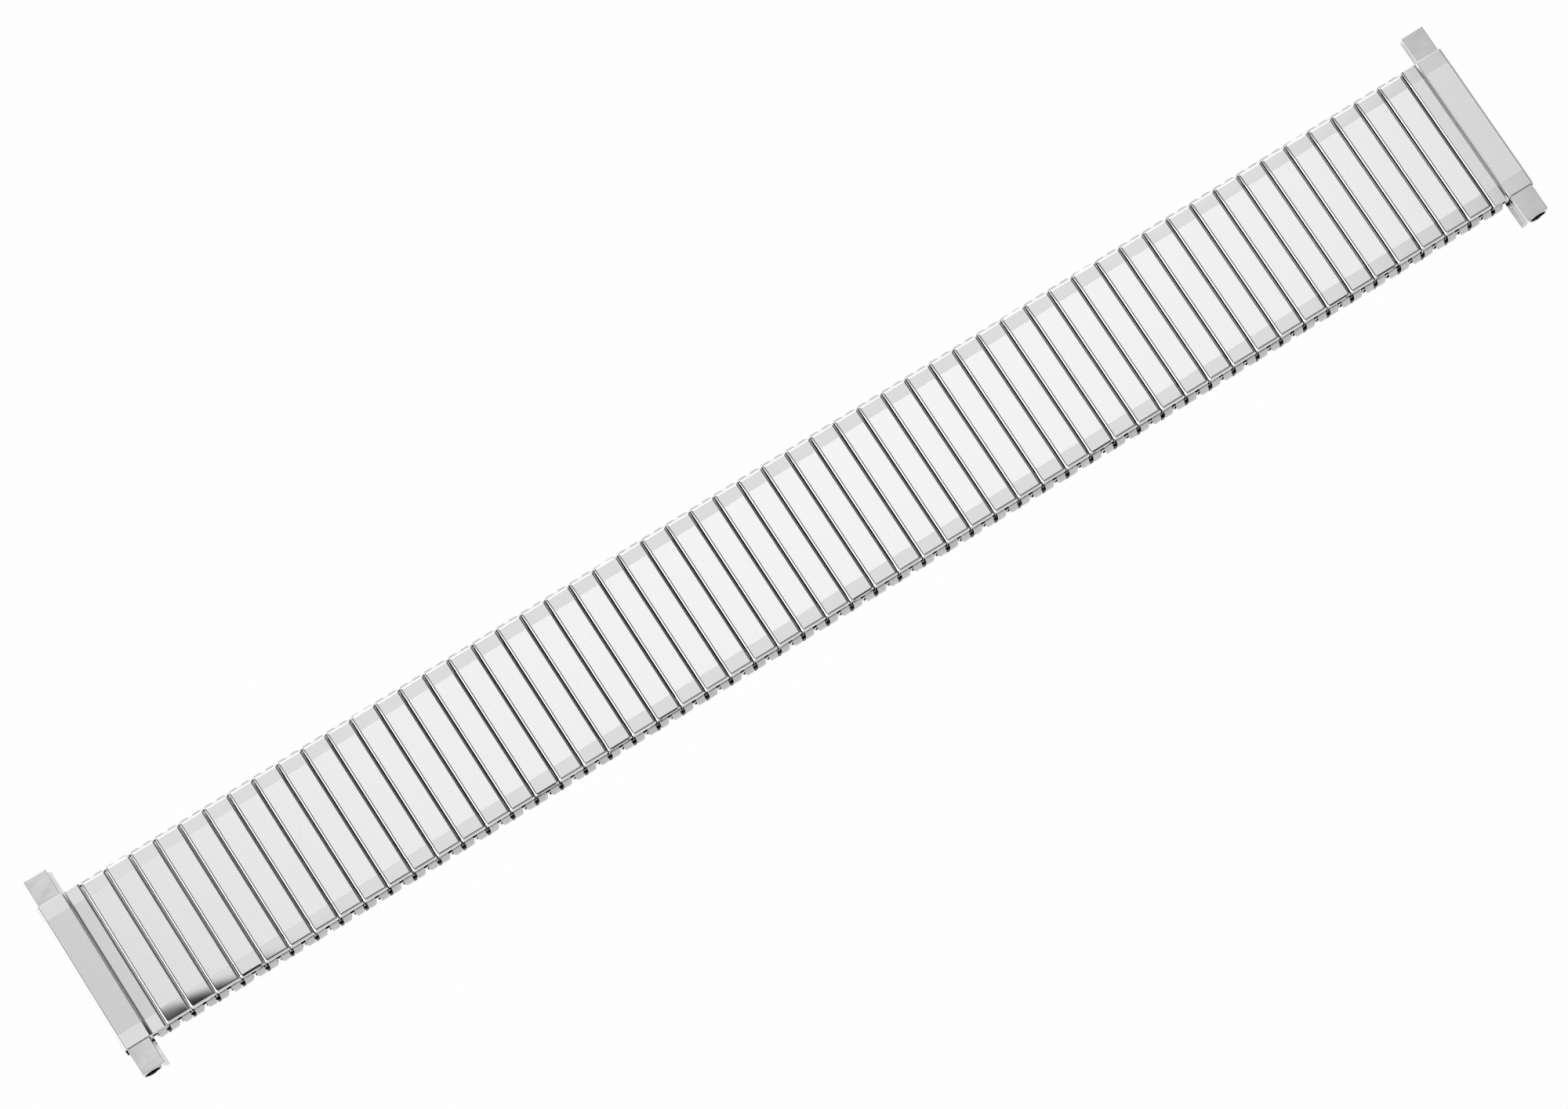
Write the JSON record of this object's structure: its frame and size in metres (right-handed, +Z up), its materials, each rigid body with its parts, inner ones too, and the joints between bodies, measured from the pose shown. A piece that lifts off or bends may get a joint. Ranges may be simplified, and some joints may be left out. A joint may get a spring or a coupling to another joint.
{
  "type": "expansion watch band",
  "caption": "Stretching steel watch band: two rows of hollow links held by staples against leaf springs, with telescoping tubes at both ends for spring bars.",
  "frame": {"origin": "under the middle of the band, on the surface that it lies on", "axes": "+X along the band, +Y across it along the links, +Z up, out of the caps"},
  "size_m": [0.149, 0.0206, 0.0028],
  "materials": {
    "top_link_steel": "fine brushed caps with polished ends and long edges",
    "bottom_link_steel": "smooth drawn stainless steel",
    "staple_steel": "polished, tumbled edges",
    "spring_steel": "plain rolled spring steel",
    "cover_steel": "brushed top with polished ends",
    "tube_steel": "smooth rolled sheet"
  },
  "bodies": {
    "segment_01": {"top_links_01": "top_link_steel", "bottom_links_01": "bottom_link_steel", "leaf_springs_01": "spring_steel", "staples_01": "staple_steel"},
    "segment_02": {"top_links_02": "top_link_steel", "bottom_links_02": "bottom_link_steel", "leaf_springs_02": "spring_steel", "staples_02": "staple_steel"},
    "segment_03": {"top_links_03": "top_link_steel", "bottom_links_03": "bottom_link_steel", "leaf_springs_03": "spring_steel", "staples_03": "staple_steel"},
    "segment_04": {"top_links_04": "top_link_steel", "bottom_links_04": "bottom_link_steel", "leaf_springs_04": "spring_steel", "staples_04": "staple_steel"},
    "segment_05": {"top_links_05": "top_link_steel", "bottom_links_05": "bottom_link_steel", "leaf_springs_05": "spring_steel", "staples_05": "staple_steel"},
    "segment_06": {"top_links_06": "top_link_steel", "bottom_links_06": "bottom_link_steel", "leaf_springs_06": "spring_steel", "staples_06": "staple_steel"},
    "segment_07": {"top_links_07": "top_link_steel", "bottom_links_07": "bottom_link_steel", "leaf_springs_07": "spring_steel", "staples_07": "staple_steel"},
    "segment_08": {"top_links_08": "top_link_steel", "bottom_links_08": "bottom_link_steel", "leaf_springs_08": "spring_steel", "staples_08": "staple_steel"},
    "segment_09": {"top_links_09": "top_link_steel", "bottom_links_09": "bottom_link_steel", "leaf_springs_09": "spring_steel", "staples_09": "staple_steel"},
    "segment_10": {"top_links_10": "top_link_steel", "bottom_links_10": "bottom_link_steel", "leaf_springs_10": "spring_steel", "staples_10": "staple_steel"},
    "segment_11": {"top_links_11": "top_link_steel", "bottom_links_11": "bottom_link_steel", "leaf_springs_11": "spring_steel", "staples_11": "staple_steel"},
    "bridge_01": {"bridge_link_01": "bottom_link_steel"},
    "bridge_02": {"bridge_link_02": "bottom_link_steel"},
    "bridge_03": {"bridge_link_03": "bottom_link_steel"},
    "bridge_04": {"bridge_link_04": "bottom_link_steel"},
    "bridge_05": {"bridge_link_05": "bottom_link_steel"},
    "bridge_06": {"bridge_link_06": "bottom_link_steel"},
    "bridge_07": {"bridge_link_07": "bottom_link_steel"},
    "bridge_08": {"bridge_link_08": "bottom_link_steel"},
    "bridge_09": {"bridge_link_09": "bottom_link_steel"},
    "bridge_10": {"bridge_link_10": "bottom_link_steel"},
    "end_left": {"end_cover_left": "cover_steel"},
    "tube_left_front": {"end_tube_left_front": "tube_steel"},
    "tube_left_back": {"end_tube_left_back": "tube_steel"},
    "end_right": {"end_cover_right": "cover_steel"},
    "tube_right_front": {"end_tube_right_front": "tube_steel"},
    "tube_right_back": {"end_tube_right_back": "tube_steel"}
  },
  "joints": [
    {"name": "flex_01", "type": "hinge", "parent": "segment_02", "child": "bridge_01", "pos_m": [-0.0561, 0, 0], "axis": [0, -1, 0], "range_deg": [0, 28], "deforming": ["staples_02"]},
    {"name": "stretch_01", "type": "slide", "parent": "bridge_01", "child": "segment_01", "axis": [-1, 0, 0], "range_m": [0, 0.00117], "stiffness_N_per_m": 6400, "deforming": ["staples_01"]},
    {"name": "flex_02", "type": "hinge", "parent": "segment_03", "child": "bridge_02", "pos_m": [-0.04335, 0, 0], "axis": [0, -1, 0], "range_deg": [0, 28], "deforming": ["staples_03"]},
    {"name": "stretch_02", "type": "slide", "parent": "bridge_02", "child": "segment_02", "axis": [-1, 0, 0], "range_m": [0, 0.00117], "stiffness_N_per_m": 6400, "deforming": ["staples_02"]},
    {"name": "flex_03", "type": "hinge", "parent": "segment_04", "child": "bridge_03", "pos_m": [-0.0306, 0, 0], "axis": [0, -1, 0], "range_deg": [0, 28], "deforming": ["staples_04"]},
    {"name": "stretch_03", "type": "slide", "parent": "bridge_03", "child": "segment_03", "axis": [-1, 0, 0], "range_m": [0, 0.00117], "stiffness_N_per_m": 6400, "deforming": ["staples_03"]},
    {"name": "flex_04", "type": "hinge", "parent": "segment_05", "child": "bridge_04", "pos_m": [-0.01785, 0, 0], "axis": [0, -1, 0], "range_deg": [0, 28], "deforming": ["staples_05"]},
    {"name": "stretch_04", "type": "slide", "parent": "bridge_04", "child": "segment_04", "axis": [-1, 0, 0], "range_m": [0, 0.00117], "stiffness_N_per_m": 6400, "deforming": ["staples_04"]},
    {"name": "flex_05", "type": "hinge", "parent": "segment_06", "child": "bridge_05", "pos_m": [-0.0051, 0, 0], "axis": [0, -1, 0], "range_deg": [0, 28], "deforming": ["staples_06"]},
    {"name": "stretch_05", "type": "slide", "parent": "bridge_05", "child": "segment_05", "axis": [-1, 0, 0], "range_m": [0, 0.00117], "stiffness_N_per_m": 6400, "deforming": ["staples_05"]},
    {"name": "flex_06", "type": "hinge", "parent": "segment_06", "child": "bridge_06", "pos_m": [0.0051, 0, 0], "axis": [0, 1, 0], "range_deg": [0, 28], "deforming": ["staples_06"]},
    {"name": "stretch_06", "type": "slide", "parent": "bridge_06", "child": "segment_07", "axis": [1, 0, 0], "range_m": [0, 0.00117], "stiffness_N_per_m": 6400, "deforming": ["staples_07"]},
    {"name": "flex_07", "type": "hinge", "parent": "segment_07", "child": "bridge_07", "pos_m": [0.01785, 0, 0], "axis": [0, 1, 0], "range_deg": [0, 28], "deforming": ["staples_07"]},
    {"name": "stretch_07", "type": "slide", "parent": "bridge_07", "child": "segment_08", "axis": [1, 0, 0], "range_m": [0, 0.00117], "stiffness_N_per_m": 6400, "deforming": ["staples_08"]},
    {"name": "flex_08", "type": "hinge", "parent": "segment_08", "child": "bridge_08", "pos_m": [0.0306, 0, 0], "axis": [0, 1, 0], "range_deg": [0, 28], "deforming": ["staples_08"]},
    {"name": "stretch_08", "type": "slide", "parent": "bridge_08", "child": "segment_09", "axis": [1, 0, 0], "range_m": [0, 0.00117], "stiffness_N_per_m": 6400, "deforming": ["staples_09"]},
    {"name": "flex_09", "type": "hinge", "parent": "segment_09", "child": "bridge_09", "pos_m": [0.04335, 0, 0], "axis": [0, 1, 0], "range_deg": [0, 28], "deforming": ["staples_09"]},
    {"name": "stretch_09", "type": "slide", "parent": "bridge_09", "child": "segment_10", "axis": [1, 0, 0], "range_m": [0, 0.00117], "stiffness_N_per_m": 6400, "deforming": ["staples_10"]},
    {"name": "flex_10", "type": "hinge", "parent": "segment_10", "child": "bridge_10", "pos_m": [0.0561, 0, 0], "axis": [0, 1, 0], "range_deg": [0, 28], "deforming": ["staples_10"]},
    {"name": "stretch_10", "type": "slide", "parent": "bridge_10", "child": "segment_11", "axis": [1, 0, 0], "range_m": [0, 0.00117], "stiffness_N_per_m": 6400, "deforming": ["staples_11"]},
    {"name": "flex_end_right", "type": "hinge", "parent": "segment_11", "child": "end_right", "pos_m": [0.0714, 0, 0], "axis": [0, 1, 0], "range_deg": [0, 28], "deforming": ["staples_11"]},
    {"name": "tube_slide_right_front", "type": "slide", "parent": "end_right", "child": "tube_right_front", "axis": [0, -1, 0], "range_m": [-0.0027, 0]},
    {"name": "tube_slide_right_back", "type": "slide", "parent": "end_right", "child": "tube_right_back", "axis": [0, 1, 0], "range_m": [-0.0027, 0]},
    {"name": "flex_end_left", "type": "hinge", "parent": "segment_01", "child": "end_left", "pos_m": [-0.0714, 0, 0], "axis": [0, -1, 0], "range_deg": [0, 28], "deforming": ["staples_01"]},
    {"name": "tube_slide_left_front", "type": "slide", "parent": "end_left", "child": "tube_left_front", "axis": [0, -1, 0], "range_m": [-0.0027, 0]},
    {"name": "tube_slide_left_back", "type": "slide", "parent": "end_left", "child": "tube_left_back", "axis": [0, 1, 0], "range_m": [-0.0027, 0]}
  ],
  "couplings": [
    {"joint": "stretch_01", "follows": "stretch_06", "ratio": 1},
    {"joint": "stretch_02", "follows": "stretch_06", "ratio": 1},
    {"joint": "stretch_03", "follows": "stretch_06", "ratio": 1},
    {"joint": "stretch_04", "follows": "stretch_06", "ratio": 1},
    {"joint": "stretch_05", "follows": "stretch_06", "ratio": 1},
    {"joint": "stretch_07", "follows": "stretch_06", "ratio": 1},
    {"joint": "stretch_08", "follows": "stretch_06", "ratio": 1},
    {"joint": "stretch_09", "follows": "stretch_06", "ratio": 1},
    {"joint": "stretch_10", "follows": "stretch_06", "ratio": 1}
  ]
}
